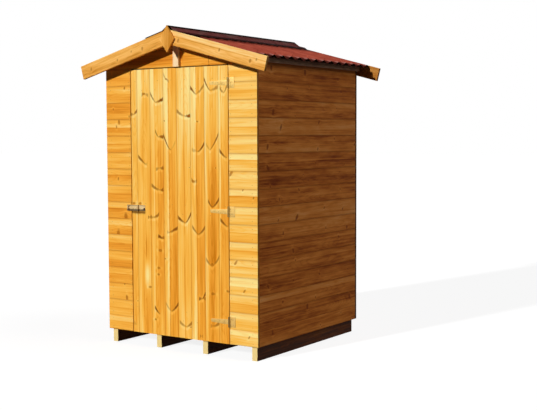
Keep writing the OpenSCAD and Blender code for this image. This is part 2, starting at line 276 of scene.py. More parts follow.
def pine(name, tones, contrast=1.0, sapwood=0, mottle=0.0, door=False, joint=0.22, glow=0.1,
         end=END_TONE, end_share=0.7):
    """Stained pine. Stored on the mesh: grain (along, across, depth), knot (along and across from the
    nearest knot, its radius) and board (half width, chance, 1 on a sawn end, and a share of painted
    shade on a back bargeboard's inner face). Sapwood is 1 where it lies above its edge and -1 where
    it lies to the left of it. Glow is how pale the wood beside a knot is."""
    g = Surface(name, roughness=0.65, specular=0.06)
    along, across, deep = g.attribute("grain")
    knot = g.attribute("knot")
    half, chance, cut = g.attribute("board")

    # The grain flows round a knot
    pull = knot[0].bell(knot[2] * 3.2) * knot[1].bell(knot[2] * 2.6)
    flow = across - knot[1] * pull * 0.8

    def streaks(lengthwise, crosswise, detail):
        cross = flow * crosswise + chance * GRAIN_SHIFT
        return g.noise(g.vector(along * lengthwise, cross, deep * crosswise), detail=detail)

    broad = streaks(1.1, 17.0, 2.0)
    streak = streaks(2.6, 90.0, 3.0)
    fine = streaks(9.0, 430.0, 2.0)
    late = late_wood(g, along, flow, deep, chance, streak)
    core, halo = knots(knot, streak, chance)

    shade = (broad - 0.5) * 1.4 + (streak - 0.5) * 0.8 + (fine - 0.5) * 0.25 - late * 0.13
    if mottle:
        shade = shade + (streaks(8.0, 34.0, 3.0) - 0.5) * mottle
    shade = shade * contrast + (chance - 0.5) * 0.36 + halo * glow
    if sapwood:
        shade = shade + sapwood_strip(g, across, broad, sapwood)
    if door:
        shade, strokes = spike_knots(g, shade + door_paleness(g), broad, streak)
    g.colour = g.ramp(shade + 0.5, *zip(TONE_PLACES, tones))
    if door:
        g.coat(strokes, SPIKE_TONE)
        # Painted shadow under the latch
        g.coat(latch_painted_shadow(g), LATCH_SHADOW_TONE)
    g.coat(core * 0.72, g.mix(0.55, KNOT_TONE, tones[0]))

    # Stain gathers beside the joints, and sawn ends drink more of it. The end tone also lies on a
    # back bargeboard's inner face, as painted shade.
    beside_joint = (half - across.size()).smooth(11 * MM, 0.5 * MM)
    g.coat(beside_joint * joint, JOINT_TONE)
    g.coat(cut * end_share, end)
    g.bump(fine * 0.5 + (streak * 0.6 + late * 0.5), RELIEF)
    return g.done()


def knots(knot, streak, chance):
    """A knot's dark core, longest across its board and leaning, and the paler wood past it."""
    beside, over, radius = knot
    leaning = beside - (chance - 0.5) * 1.2 * over
    squeezed = over * 0.62
    far = (squeezed * squeezed + leaning * leaning).root()
    ragged = far + (streak - 0.5) * (radius * 1.6)
    past = over.size() - radius * 2.9
    halo = past.bell(radius * 1.2) * leaning.bell(radius * 1.6)
    return (ragged / radius).smooth(1.4, 0.5), halo


def late_wood(g, along, flow, deep, chance, streak):
    """The dark late wood of the year rings, cut by the board's face near a wandering pith."""
    rings_per_metre = 125.0
    wander = g.noise(g.vector(along * 0.9, chance * GRAIN_SHIFT, 0.0), detail=1.0)
    pith = (wander - 0.45) * 0.22 + deep
    middle = flow - (chance - 0.5) * 0.09
    radius = (pith * pith + middle * middle).root()
    ring = (radius * rings_per_metre + streak * 1.4).fraction()
    return ring.smooth(0.45, 0.92) * ring.smooth(1.0, 0.94)


def sapwood_strip(g, across, broad, toward):
    """Paler sapwood on one side of an edge, beside a thin darker line, palest near its edge.
    Stored: sap (across to the edge, the sapwood's paleness, the line's darkness)."""
    edge, pale, line = g.attribute("sap")
    beside = (across - edge) * toward + (broad - 0.5) * (14 * MM)
    strip = beside.smooth(-3 * MM, 4 * MM) * pale
    strip = strip * (1.0 - beside.smooth(14 * MM, 46 * MM) * 0.45)
    return strip - (beside + 3 * MM).bell(3 * MM) * line


def door_paleness(g):
    """The door is paler towards its top, and has a flare on its second board under a line."""
    x, _, z = g.split(g.place())
    flare_x, flare_z = DOOR_FLARE
    line_x, line_z = flare_x - 9 * MM, flare_z + 190 * MM
    upper = z.smooth(1.1, 1.66) * 0.2
    flare = (x - flare_x).bell(22 * MM) * (z - flare_z).bell(85 * MM)
    line = (x - line_x).bell(4 * MM) * (z - line_z).bell(70 * MM)
    return upper + flare * 0.6 - line * 0.4


def latch_painted_shadow(g):
    """Painted shadow of the latch on the wood under it."""
    x, _, z = g.split(g.place())
    film = g.noise(g.vector(x * 40.0, 0.0, z * 40.0))
    low = z - (LATCH_LOW.z - 8 * MM) + (film - 0.5) * (16 * MM)
    begun = x.smooth(LATCH_LOW.x - 12 * MM, LATCH_LOW.x + 6 * MM)
    ended = x.smooth(LATCH_HIGH.x + 64 * MM, LATCH_HIGH.x + 44 * MM)
    return low.bell(9 * MM) * (begun * ended) * 0.9


def spike_knots(g, shade, broad, streak):
    """Spike knots of boards sawn beside the pith: from a tip, a wedge rises to the left and to
    the right, thicker and darker outward, with heartwood above the tip and paler wood under it.
    Stored: tip (across and height from the tip, half width of the heartwood), left and right
    (reach, rise, darkness) and heart (height left above, darkness)."""
    beside, above, wide = g.attribute("tip")
    room, heart, _ = g.attribute("heart")
    wobbly = above + (broad - 0.5) * (16 * MM) + (streak - 0.5) * (12 * MM)
    strokes = []
    for turned, key in ((-1, "left"), (1, "right")):
        reach, rise, dark = g.attribute(key)
        share = beside * turned / reach.at_least(1 * MM)
        over = wobbly - rise * share.at_least(0.0).to_the(1.4)
        within = share.smooth(-0.2, 0.04) * share.smooth(1.14, 0.97) * reach.smooth(2 * MM, 6 * MM)
        thick = share * (11 * MM) + 6.5 * MM
        outer = share.smooth(0.0, 0.7) * 0.55 + 0.45
        bold = over.size().smooth(thick, thick * 0.3)
        strokes.append(bold * within * (outer * dark))
        pale = (over + 17 * MM).bell(11 * MM) * within
        shade = shade + pale * dark * 0.16
    opened = 1.0 - (above * -20.0).exponential()
    width = wide * 0.8 * opened.at_least(0.0).root()
    inside = (width - beside.size()).smooth(-6 * MM, 9 * MM)
    fade = room.smooth(0.0, 0.12) * (above * -2.6).exponential()
    return shade - inside * fade * (heart * 0.22), strokes[0].at_least(strokes[1])


def bitumen(name, dark, mid, light):
    """Pigmented bitumen-fibre sheet: fibres, dust in its hollows and dark specks."""
    g = Surface(name, roughness=0.9, specular=0.03)
    place = g.place()
    x, y, z = g.split(place)
    fibres = g.noise(g.vector(x * 60.0, y * 420.0, z * 60.0), detail=3.0)
    cloud = g.noise(place, scale=7.0, detail=4.0, roughness=0.6)
    runs = g.noise(g.vector(x * 2.0, y * 38.0, 0.0))
    speck = g.noise(place, scale=900.0, detail=1.0)
    level = cloud * 0.5 + (runs * 0.25 + fibres * 0.25)
    g.colour = g.ramp(level, (0.3, dark), (0.5, mid), (0.72, light))
    g.coat(speck.smooth(0.62, 0.75) * 0.3, dark)
    g.bump(fibres * 0.6 + speck, RELIEF)
    return g


def roof_sheet_material():
    """The sheets' coat, darkened under the cap, with painted shade in the hollows along the eaves and
    a painted highlight on the crests' ends."""
    g = bitumen("sheet_red", "#802e26", "#a44a38", "#c0604c")
    x, y, _ = g.split(g.place())
    beside = x.size()
    turn = (y - (SHEET_LOW.y - WAVE_LEAD)) * (2 * math.pi / WAVE_PITCH)
    crest = turn.cosine().smooth(0.1, 0.9)
    # Painted shade in the hollows along the eaves
    eave = beside.smooth(EAVE_X - 75 * MM, EAVE_X - 25 * MM)
    g.coat(eave * ((1.0 - crest) * 0.92), "#2c0c0a")
    under_cap = beside.smooth(CAP_REACH + 110 * MM, CAP_REACH + 20 * MM)
    g.coat(under_cap * 0.7, "#3a120e")
    # Painted highlight on the crests' ends at the eaves
    tip = beside.smooth(EAVE_X - 40 * MM, EAVE_X - 10 * MM) * crest
    g.coat(tip * 0.7, "#b07c74")
    return g.done()


def ridge_cap_material():
    """The cap's sheet, grey where its coat has worn, with black painted shade along its crown and its
    edges.
    """
    g = bitumen("cap_red", "#3e1814", "#643230", "#824a48")
    x, y, _ = g.split(g.place())
    beside = x.size()
    worn = g.noise(g.vector(x * 9.0, y * 5.0, 0.0), detail=3.0)
    g.coat(worn.smooth(0.5, 0.68) * 0.4, "#786a62")
    ragged = (g.noise(g.vector(0.0, y * 14.0, 0.0)) - 0.5) * (26 * MM)
    wing = (beside + ragged).smooth(CAP_REACH - 98 * MM, CAP_REACH - 74 * MM)
    crown = (beside + ragged * 0.3).smooth(30 * MM, 18 * MM)
    edge = beside.smooth(CAP_REACH - 12 * MM, CAP_REACH - 6 * MM)
    g.coat(wing, "#2a0502")
    # Painted shade: black along the crown and along the wings' edges
    g.coat(crown.at_least(edge), "#140503")
    return g.done()


def zinc(name, base, dark, light, latch=False):
    """Passivated zinc on steel: soft spangle, a yellowish film and dull patches. Painted shade sits
    round the hinge pins, and along the upper and lower edges of the latch."""
    g = Surface(name, roughness=0.55, metallic=0.15, specular=0.25)
    place = g.place()
    x, _, z = g.split(place)
    spangle = g.noise(place, scale=260.0)
    film = g.noise(place, scale=42.0, detail=4.0, roughness=0.65)
    g.colour = g.mix(film.smooth(0.3, 0.6), dark, base)
    g.coat(spangle.smooth(0.45, 0.65) * 0.25, light)
    lower = z.smooth(1.6, 0.3)
    g.coat(lower * 0.5, "#bc8c42")
    # Painted shade round the hinge pin, and on the latch along its upper and lower edges
    painted_shade = (x - HINGE_PIN_X).bell(lower * (3.5 * MM) + 3 * MM)
    if latch:
        low = z - LATCH_Z + (film - 0.5) * (14 * MM)
        above = low.smooth(9 * MM, 15 * MM) * 0.55
        painted_shade = low.smooth(-3 * MM, -9 * MM).at_least(above)
    g.coat(painted_shade * 0.85, PAINTED_SHADE_TONE)
    g.put(g.shader.inputs["Roughness"], film * 0.3 + 0.35)
    g.bump(spangle, 0.05 * MM)
    return g.done()


def plain_metal(name, base, dark):
    """Small fixings: dull metal with a mottled film."""
    g = Surface(name, roughness=0.5, metallic=0.4, specular=0.3)
    film = g.noise(g.place(), scale=300.0, detail=3.0)
    g.bump(film, 0.05 * MM)
    g.colour = g.mix(film.smooth(0.35, 0.65), dark, base)
    return g.done()


corner_end = {"end": "#94501a", "end_share": 0.9}
shaded = {"contrast": 0.8, "sapwood": 1, "mottle": 0.75, "joint": 0.5, "glow": 0.16}
wall_pine = pine("wall_pine", GOLD, contrast=0.62, sapwood=1, **corner_end)
right_pine = pine("right_pine", HONEY, contrast=0.54, sapwood=1, **corner_end)
# The side and back walls take a darker copy of the stain: painted shade
side_pine = pine("side_pine", DEEP_PAINTED_SHADE, **shaded)
# The back wall's near-black sawn ends are painted shade
back_pine = pine("back_pine", DEEP_PAINTED_SHADE, end="#180804", end_share=0.9, **shaded)
door_pine = pine("door_pine", HONEY, contrast=0.72, sapwood=-1, door=True, joint=0.12, glow=0.16)
gable_pine = pine("gable_pine", GOLD, contrast=0.8, sapwood=1)
trim_pine = pine("trim_pine", CREAM, contrast=0.9, sapwood=1, mottle=0.5, glow=0.08)
batten_pine = pine("batten_pine", PALE, contrast=0.7, end="#e8c490")
sawn_pine = pine("sawn_pine", SAWN, contrast=0.9, end="#b08a60")
purlin_pine = pine("purlin_pine", DUSK, contrast=1.1, mottle=0.8)
base_pine = pine("base_pine", SKID_DARK, contrast=1.0, mottle=0.6, end="#f6d890", end_share=0.94)
sheet_red = roof_sheet_material()
sheet_under = bitumen("sheet_underside", "#140604", "#221009", "#341a12").done()
cap_red = ridge_cap_material()
zinc_plate = zinc("zinc_plate", "#eec468", "#c89c48", "#fff0ac")
zinc_latch = zinc("zinc_latch", "#e8cc94", "#b8945a", "#fff4d0", latch=True)
nail_steel = plain_metal("nail_steel", "#b8863c", "#8c6428")
screw_zinc = plain_metal("screw_zinc", "#d8b474", "#94713a")
dark_iron = plain_metal("dark_iron", "#3a1408", "#200a04")

# ---- meshes and pieces


def linked(name, data):
    """A new object of the scene that holds the data."""
    thing = bpy.data.objects.new(name, data)
    bpy.context.scene.collection.objects.link(thing)
    return thing


def finish_mesh(name, mesh, material, body, node=None, smooth=False):
    """Links a mesh as a piece that rides on a body and may stand for a CAD node."""
    piece = linked(name, mesh)
    mesh.materials.append(material)
    mesh.polygons.foreach_set("use_smooth", [smooth] * len(mesh.polygons))
    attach(piece, body)
    if node:
        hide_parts(node)
    return piece


def filled(mesh, work):
    """The mesh with what a bmesh holds, and with every face turned outward."""
    bmesh.ops.recalc_face_normals(work, faces=work.faces)
    work.to_mesh(mesh)
    work.free()
    return mesh


def store(mesh, values):
    """Stores vectors on the mesh, one for each corner of each face."""
    for key, rows in values.items():
        layer = mesh.attributes.new(key, "FLOAT_VECTOR", "CORNER")
        layer.data.foreach_set("vector", np.array(rows, np.float32).ravel())


def solid_mesh(name, points, faces, **values):
    """A mesh of closed solids, and the values stored on its corners."""
    mesh = bpy.data.meshes.new(name)
    mesh.from_pydata([tuple(p) for p in points], [], faces)
    store(mesh, values)
    work = bmesh.new()
    work.from_mesh(mesh)
    return filled(mesh, work)


def bends(edge, angle):
    return len(edge.link_faces) == 2 and edge.calc_face_angle(0) > angle


def eased(name, node, angle, arris, clamped=False):
    """A copy of a CAD piece's mesh, bevelled along each edge that bends past the angle."""
    work = bmesh.new()
    work.from_mesh(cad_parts[node].data)
    bmesh.ops.remove_doubles(work, verts=work.verts, dist=0.005 * MM)
    bmesh.ops.dissolve_limit(work, angle_limit=0.01, verts=work.verts, edges=work.edges)
    sharp = [edge for edge in work.edges if bends(edge, angle)]
    bmesh.ops.bevel(work, geom=sharp, offset=arris, segments=2, affect="EDGES", profile=0.6,
                    clamp_overlap=clamped)
    return filled(bpy.data.meshes.new(name), work)


def sharpen(piece, degrees):
    """Keeps edges sharper than the angle crisp on a smooth piece."""
    work = bmesh.new()
    work.from_mesh(piece.data)
    for edge in work.edges:
        edge.smooth = not bends(edge, math.radians(degrees))
    work.to_mesh(piece.data)
    work.free()


# ---- boards and timbers

# What a board has where no knot, spike knot or sapwood is given
FAR_KNOT = (9.0, 9.0, 5 * MM)
NO_ARM = (0, 0, 0)
NO_MARK = (9.0, 9.0, NO_ARM, NO_ARM, 0.0)
NO_SAP = (0.0, 0.0, 0.0)

# How much dark stain a board's two ends have drunk, and how much of the end tone lies on its inner
# face as painted shade
SAWN_ENDS = (1.0, 1.0, 0.0)

# How far under its tip a spike knot's part of the board begins
MARK_FOOT = 25 * MM


class Boards:
    """Boards of one piece, each a profile across and out of the board, carried along it. Values
    stored on each corner say where it lies on its own board."""

    def __init__(self, seed):
        self.random = random.Random(seed)
        self.points = []
        self.faces = []
        keys = ("grain", "knot", "board", "tip", "left", "right", "heart", "sap")
        self.values = {key: [] for key in keys}

    def add(self, origin, axes, profile, ends, half, knots=(), marks=(), chance=None, sap=None,
            sawn=SAWN_ENDS):
        """axes: the ways along, across and out. profile: (across, out) points. ends: two
        functions of across that give the board's ends. knots: (along, across, radius).
        marks: (along, across, left arm, right arm, heart), an arm being (reach, rise, darkness).
        sap: (across to the sapwood's edge, paleness, darkness of its line)."""
        chance = self.random.random() if chance is None else chance
        offset = self.random.uniform(0, 50)
        knots = sorted(knots)
        marks = sorted(marks)
        low = min(ends[0](c) for c, _ in profile)
        high = max(ends[1](c) for c, _ in profile)
        cuts = {(a[0] + b[0]) / 2 for a, b in zip(knots, knots[1:])}
        feet = [mark[0] - MARK_FOOT for mark in marks]
        cuts = sorted(c for c in cuts | set(feet) if low + 15 * MM < c < high - 15 * MM)
        first = len(self.points)
        count = len(profile)
        local = self.stations(origin, axes, profile, ends, cuts)

        def face(corners, stain_and_shade, knot, mark, room):
            self.faces.append([first + corner for corner in corners])
            fixed = {"board": (half, chance, stain_and_shade), "sap": sap or NO_SAP}
            for corner in corners:
                self.corner(local[corner], offset, fixed, knot, mark, room)

        edges = [low, *cuts, high]
        for i, (bottom, top) in enumerate(zip(edges, edges[1:])):
            middle = (bottom + top) / 2
            knot = min(knots or [FAR_KNOT], key=lambda k: abs(k[0] - middle))
            under = sum(foot <= middle for foot in feet)
            mark = (NO_MARK, *marks)[under]
            room = (*feet, high + 1)[under]
            for j in range(count):
                near = i * count + j
                beside = i * count + (j + 1) % count
                corners = (near, beside, beside + count, near + count)
                face(corners, sawn[2] if j == count - 1 else 0.0, knot, mark, room)
        for start, stain_and_shade in zip((0, len(local) - count), sawn):
            face(range(start, start + count), stain_and_shade, FAR_KNOT, NO_MARK, high + 1)

    def stations(self, origin, axes, profile, ends, cuts):
        """The profile's points at both of the board's ends and at each cut between them."""
        local = []
        for cut in (-math.inf, *cuts, math.inf):
            for c, d in profile:
                a = min(max(cut, ends[0](c)), ends[1](c))
                local.append((a, c, d))
                self.points.append(origin + axes[0] * a + axes[1] * c + axes[2] * d)
        return local

    def corner(self, local, offset, fixed, knot, mark, room):
        """The values of one corner of a face."""
        a, c, d = local
        height, beside, left, right, heart = mark
        row = {
            "grain": (a + offset, c, d),
            "knot": (a - knot[0], c - knot[1], knot[2]),
            "tip": (c - beside, a - height, max(left[0], right[0], 5 * MM)),
            "left": left,
            "right": right,
            "heart": (room - a, heart, 0.0),
            **fixed,
        }
        for key, value in row.items():
            self.values[key].append(value)

    def some_sapwood(self, most, edges=(-22, 24), least=0.0):
        """Where a board's sapwood begins, how pale it is and how dark the line beside it is."""
        edge = self.random.uniform(*edges) * MM
        pale = least + self.random.random() ** 1.4 * (most - least)
        return edge, pale, self.random.random() * 0.22

    def some_knots(self, low, high, spacing, radius, half):
        """Knots strewn along a board, from the piece's own random numbers."""
        found = []
        a = low + self.random.uniform(0.1, 1.0) * spacing
        while a < high:
            size = self.random.uniform(0.35, 1.0) ** 1.5 * radius
            found.append((a, self.random.uniform(-0.8, 0.8) * half, size))
            a += self.random.uniform(0.5, 1.5) * spacing
        return found

    def make(self, name, material, node, body="shed"):
        mesh = solid_mesh(name, self.points, self.faces, **self.values)
        finish_mesh(name, mesh, material, body, node)


def board_profile(low, high, thick, bevel, grooved=True, tongued=True):
    """A board's section between low and high across, tongued and grooved at its edges."""
    depth = 8 * MM
    third = thick / 3
    low += GAP / 2
    high -= GAP / 2
    points = [(low, 0.0)]
    if grooved:
        points += [(low, third - GAP), (low + depth + GAP, third - GAP)]
        points += [(low + depth + GAP, 2 * third + GAP), (low, 2 * third + GAP)]
    points += [(low, thick - bevel), (low + bevel * 0.8, thick)]
    points += [(high - bevel * 0.8, thick), (high, thick - bevel)]
    if tongued:
        points += [(high, 2 * third), (high + depth, 2 * third), (high + depth, third), (high, third)]
    points.append((high, 0.0))
    return points


def stepped(profile, places):
    """The profile with two points a hair apart wherever it crosses one of the places."""
    hair = 0.02 * MM
    points = []
    for (c0, d0), (c1, d1) in zip(profile, profile[1:] + profile[:1]):
        points.append((c0, d0))
        turn = 1 if c1 > c0 else -1
        for place in sorted(places, reverse=c1 < c0):
            if min(c0, c1) + hair < place < max(c0, c1) - hair:
                d = d0 + (d1 - d0) * (place - c0) / (c1 - c0)
                points += [(place - turn * hair, d), (place + turn * hair, d)]
    return points


def plain_profile(low, high, thick, arris):
    """A planed board's section with broken arrises."""
    return [
        (low + arris, 0.0), (low, arris), (low, thick - arris), (low + arris, thick),
        (high - arris, thick), (high, thick - arris), (high, arris), (high - arris, 0.0),
    ]


# No knot and no stain beside a joint reaches a planed timber's arris
CLEAR_EDGE = 9 * MM


def timber(node, along, material, body="shed", arris=1.2 * MM, chance=None):
    """A CAD timber with broken arrises, and with the grain running along it."""
    along = Vector(along).normalized()
    low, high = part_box(node)
    middle = (low + high) / 2
    ways = [way - along * way.dot(along) for way in (X, Y, Z)]
    across = max(ways, key=lambda way: way.length * abs(way.dot(high - low))).normalized()
    out = along.cross(across)
    mesh = eased(node + "_timber", node, 0.3, arris)
    chance = random.Random(node).random() if chance is None else chance
    half = max(abs((v.co - middle).dot(across)) for v in mesh.vertices) + CLEAR_EDGE
    rows = {"grain": [], "knot": [], "board": []}
    for face in mesh.polygons:
        cut = 1.0 if abs(face.normal.dot(along)) > 0.6 else 0.0
        for index in face.vertices:
            place = mesh.vertices[index].co - middle
            rows["grain"].append((place.dot(along) + chance * 40, place.dot(across), place.dot(out)))
            rows["knot"].append(FAR_KNOT)
            rows["board"].append((half, chance, cut))
    store(mesh, rows)
    return finish_mesh(node + "_timber", mesh, material, body, node)


def plated(node, material, body):
    """A CAD piece of metal or sheet with its arrises eased."""
    mesh = eased(node + "_finish", node, 0.9, 0.3 * MM, clamped=True)
    piece = finish_mesh(node + "_finish", mesh, material, body, node, smooth=True)
    sharpen(piece, 40)


# ---- walls


def gable_reach(z):
    """Half the wall's width at height z, under the eaves purlins and the roof sheets."""
    if z <= PLATE_Z:
        return WALL_X
    return max(20 * MM, min(PURLIN_IN, (BEAM_HIGH.z - z) / SLOPE))


def rows_of_boards(limit):
    """Each board's bottom and top height, and if another board follows, up to the limit."""
    rows = []
    z, top = WALL_Z, WALL_Z + LOWEST
    while top < limit - LEAST:
        rows.append((z, top, True))
        z, top = top, top + COVER
    rows.append((z, limit, False))
    return rows


def lay_wall_board(wall, row, left, right, knots=None, sap=None, **rest):
    """One level board of a gable wall, from left to right. They are numbers, or None where the
    board runs to the wall's edge or the roof."""
    boards, y, outward_y = wall
    z, top, joined = row
    half = COVER / 2
    profile = board_profile(-half, top - z - half, CLAD, 2 * MM, tongued=joined)
    profile = stepped(profile, [height - z - half for height in (PLATE_Z, PURLIN_TOP)])
    ends = (
        (lambda c: -gable_reach(z + half + c)) if left is None else (lambda c: left),
        (lambda c: gable_reach(z + half + c)) if right is None else (lambda c: right),
    )
    low, high = ends[0](0.0), ends[1](0.0)
    if knots is None:
        knots = boards.some_knots(low, high, 420 * MM, 11 * MM, half)
    sap = sap or boards.some_sapwood(0.2)
    axes = (X, Z, Y * outward_y)
    boards.add(Vector((0, y, z + half)), axes, profile, ends, half, knots, sap=sap, **rest)


def lay_round_beam(wall, row):
    """Boards to the left and right of the ridge beam, and a short one under it."""
    lay_wall_board(wall, row, None, BEAM_LOW.x, [])
    lay_wall_board(wall, row, BEAM_HIGH.x, None, [])
    lay_wall_board(wall, (row[0], BEAM_LOW.z, False), BEAM_LOW.x, BEAM_HIGH.x, [])


def meets_beam(row):
    return row[0] >= BEAM_LOW.z - COVER / 2


# Lengths in the tables of knots and sapwood are in millimetres.
# Knots that stand out beside the door: x, height, radius
STRIP_KNOTS = {
    "left": [(-456, 1720, 6), (-558, 1584, 5), (-416, 1532, 6), (-508, 1499, 10), (-531, 1465, 7),
             (-520, 1116, 8), (-457, 867, 14), (-527, 749, 14), (-477, 406, 5), (-458, 312, 11)],
    "right": [(551, 147, 6), (518, 437, 6), (452, 610, 8), (590, 1019, 5), (510, 1066, 5),
              (418, 1165, 10)],
}

# Sapwood that stands out there: height of its lower edge, paleness, darkness of its line
STRIP_SAPWOOD = {
    "left": [(1548, -0.16, 0.1), (1351, 0.16, 0.25), (1142, 0.14, 0.2)],
    "right": [(1253, 0.32, 0.2), (1027, 0.34, 0.25), (800, 0.16, 0.15), (587, 0.2, 0.15)],
}

# How light the stain lies there, from and to
STRIP_CHANCE = {"left": (0.38, 0.76), "right": (0.74, 1.02)}

# Where two boards meet end to end over the door, half the gap between them, and how light the
# stain lies on the left and on the right one
GABLE_JOINT = 0.252
END_GAP = 1.5 * MM
GABLE_CHANCES = (0.05, 0.6)


def front_strip(side, seed, material):
    """The boards of the front wall at one side of the door."""
    boards = Boards(seed)
    left, right = (None, -DOOR_X) if side == "left" else (DOOR_X, None)
    sawn = (1.0, 0.2, 0.0) if side == "left" else (0.2, 1.0, 0.0)
    for row in rows_of_boards(DOOR_TOP):
        z, top, _ = row
        middle = z + COVER / 2
        knots = [(x * MM, high * MM - middle, radius * MM)
                 for x, high, radius in STRIP_KNOTS[side] if z <= high * MM < top]
        chance = boards.random.uniform(*STRIP_CHANCE[side])
        sap = boards.some_sapwood(0.24, (-4, 10), 0.08)
        for edge, pale, line in STRIP_SAPWOOD[side]:
            if z <= edge * MM < top:
                sap = (edge * MM - middle, pale, line)
        wall = (boards, FRONT_INNER_Y, -1)
        lay_wall_board(wall, row, left, right, knots, sap, chance=chance, sawn=sawn)
    boards.make("cladding_front_" + side, material, "front_wall_" + side)


def front_gable():
    """The boards over the door, cut round the ridge beam."""
    boards = Boards(16)
    wall = (boards, FRONT_INNER_Y, -1)
    for row in rows_of_boards(BEAM_HIGH.z - UNDER_SHEETS):
        if row[1] < DOOR_TOP + LEAST:
            continue
        if meets_beam(row):
            lay_round_beam(wall, row)
        else:
            lay_wall_board(wall, row, None, GABLE_JOINT - END_GAP, [], chance=GABLE_CHANCES[0])
            lay_wall_board(wall, row, GABLE_JOINT + END_GAP, None, [], chance=GABLE_CHANCES[1])
    boards.make("cladding_gable", gable_pine, "front_gable")


def back_wall():
    """Whole boards, and the highest ones cut round the ridge beam."""
    boards = Boards(12)
    wall = (boards, BACK_INNER_Y, 1)
    for row in rows_of_boards(BEAM_HIGH.z - UNDER_SHEETS):
        if meets_beam(row):
            lay_round_beam(wall, row)
        else:
            lay_wall_board(wall, row, None, None)
    boards.make("cladding_back", back_pine, "back_wall")


def side_wall(side, name, seed):
    """Whole boards between the front wall's and the back wall's."""
    boards = Boards(seed)
    half = COVER / 2
    ends = (lambda c: FRONT_INNER_Y + GAP, lambda c: BACK_INNER_Y - GAP)
    for z, top, joined in rows_of_boards(PLATE_Z):
        profile = board_profile(-half, top - z - half, CLAD, 1.5 * MM, tongued=joined)
        knots = boards.some_knots(FRONT_INNER_Y, BACK_INNER_Y, 430 * MM, 13 * MM, half)
        origin = Vector((side * (WALL_X - CLAD), 0, z + half))
        sap = boards.some_sapwood(0.22)
        boards.add(origin, (Y, Z, X * side), profile, ends, half, knots, sap=sap)
    boards.make("cladding_" + name, side_pine, name + "_wall")


def floor_boards():
    """Boards across the skids."""
    boards = Boards(15)
    low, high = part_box("floor")
    count = 13
    wide = (high.y - low.y) / count
    ends = (lambda c: low.x, lambda c: high.x)
    for i in range(count):
        profile = board_profile(-wide / 2, wide / 2, high.z - low.z, 1.5 * MM, i > 0, i < count - 1)
        knots = boards.some_knots(low.x, high.x, 400 * MM, 8 * MM, wide / 2)
        origin = Vector((0, low.y + (i + 0.5) * wide, low.z))
        boards.add(origin, (X, Y, Z), profile, ends, wide / 2, knots)
    boards.make("floor_boards", sawn_pine, "floor")


# ---- door

DOOR_EDGES = (DOOR_LOW.x, -0.348, -0.236, -0.124, -0.012, 0.100, 0.212, 0.324, DOOR_HIGH.x)

# How light the stain lies on each door board
DOOR_CHANCES = (0.55, 0.55, 0.45, 0.35, 0.7, 0.35, 0.5, 0.38)

# Spike knots of each door board: height and x of the tip, the left and the right arm, each with
# its reach, rise and darkness, and how dark the heartwood above the tip is
DOOR_MARKS = [
    [(140, -372, (20, 10, 0.3), NO_ARM, 0), (1546, -378, (25, 0, 0.7), (30, 26, 0.9), 0)],
    [(868, -247, (14, 0, 0.7), (10, 0, 0.6), 0), (1219, -275, (62, 45, 0.85), (12, 0, 0.3), 0.2),
     (1677, -280, (24, -4, 0.6), (30, -10, 0.45), -0.4)],
    [(231, -169, (40, 40, 0.95), NO_ARM, 0.2), (733, -128, (46, 10, 1), NO_ARM, 0),
     (867, -218, (16, 0, 0.6), (48, 20, 0.8), -0.3), (1048, -150, (74, 28, 0.75), (20, 4, 0.9), 0.3),
     (1191, -158, (30, -4, 0.5), (30, 3, 0.7), 0.2), (1397, -165, (26, 37, 0.7), (40, 0, 0.9), -0.2),
     (1622, -184, (46, 58, 0.75), (60, 22, 1), -0.5)],
    [(259, -66, (48, 45, 0.4), (54, 48, 1), 0.6), (777, -85, (14, 0, 0.4), (72, 28, 0.95), 0.1),
     (1313, -65, (55, 88, 1), (40, 50, 0.2), -0.6), (1769, -95, (22, 34, 0.5), (20, -15, 0.5), 0)],
    [(168, 54, (52, 25, 0.6), (44, 26, 0.7), -0.4), (844, 51, (55, 31, 0.95), (48, 60, 1), 0.5),
     (1530, 55, (62, 30, 0.65), (44, 2, 1), 0)],
    [(116, 177, (12, 0, 0.5), (12, 0, 0.4), 0), (360, 183, (22, 0, 0.85), (28, 33, 1), 0.3),
     (773, 158, (46, 45, 0.7), (52, 45, 0.85), 0.5), (1110, 121, (14, 12, 0.6), (30, 0, 0.4), 0),
     (1303, 160, (46, 8, 0.35), (50, 48, 1), 0.6), (1668, 148, (44, 40, 0.95), (62, 50, 0.6), 0.4)],
    [(190, 272, (20, 0, 0.4), (46, 25, 0.7), 0), (575, 268, (46, 43, 0.6), (54, 62, 0.6), 1.3),
     (949, 272, (32, 42, 0.85), (50, 52, 0.95), 0.9), (1317, 258, (30, 30, 0.3), (62, 90, 0.85), 0.3),
     (1686, 262, (50, 80, 0.95), (56, 20, 0.6), 0)],
    [(835, 390, (52, 38, 0.9), NO_ARM, 0.5), (1267, 386, (52, 42, 0.9), NO_ARM, 0.4),
     (1672, 368, (30, 26, 0.65), (28, 50, 0.8), -0.5)],
]

# Sapwood at the left of each door board: its width, its paleness and the dark line's strength
DOOR_SAPWOOD = [
    (20, 0, 0), (42, 0.2, 0), (36, 0.18, 0.1), (42, 0.26, 0.45), (56, 0.1, 0.3), (46, 0.42, 0.25),
    (24, 0.08, 0.1), (16, 0.2, 0.1),
]

# Small round knots of each door board: height, x, radius
DOOR_KNOTS = [
    [(300, -360, 4), (955, -382, 9)],
    [(403, -248, 8), (955, -332, 9), (1679, -284, 7)],
    [(190, -205, 6), (492, -177, 7), (535, -173, 8), (652, -159, 8), (739, -134, 9), (1047, -136, 9),
     (1191, -131, 9), (1399, -140, 7)],
    [(600, -118, 6), (1500, -115, 4), (1769, -95, 6)],
    [(168, 92, 6), (1200, 90, 3), (1531, 90, 8)],
    [(364, 206, 8), (1111, 122, 8), (1493, 156, 5)],
    [(400, 274, 9), (590, 268, 6), (1200, 300, 3)],
    [(425, 392, 7)],
]


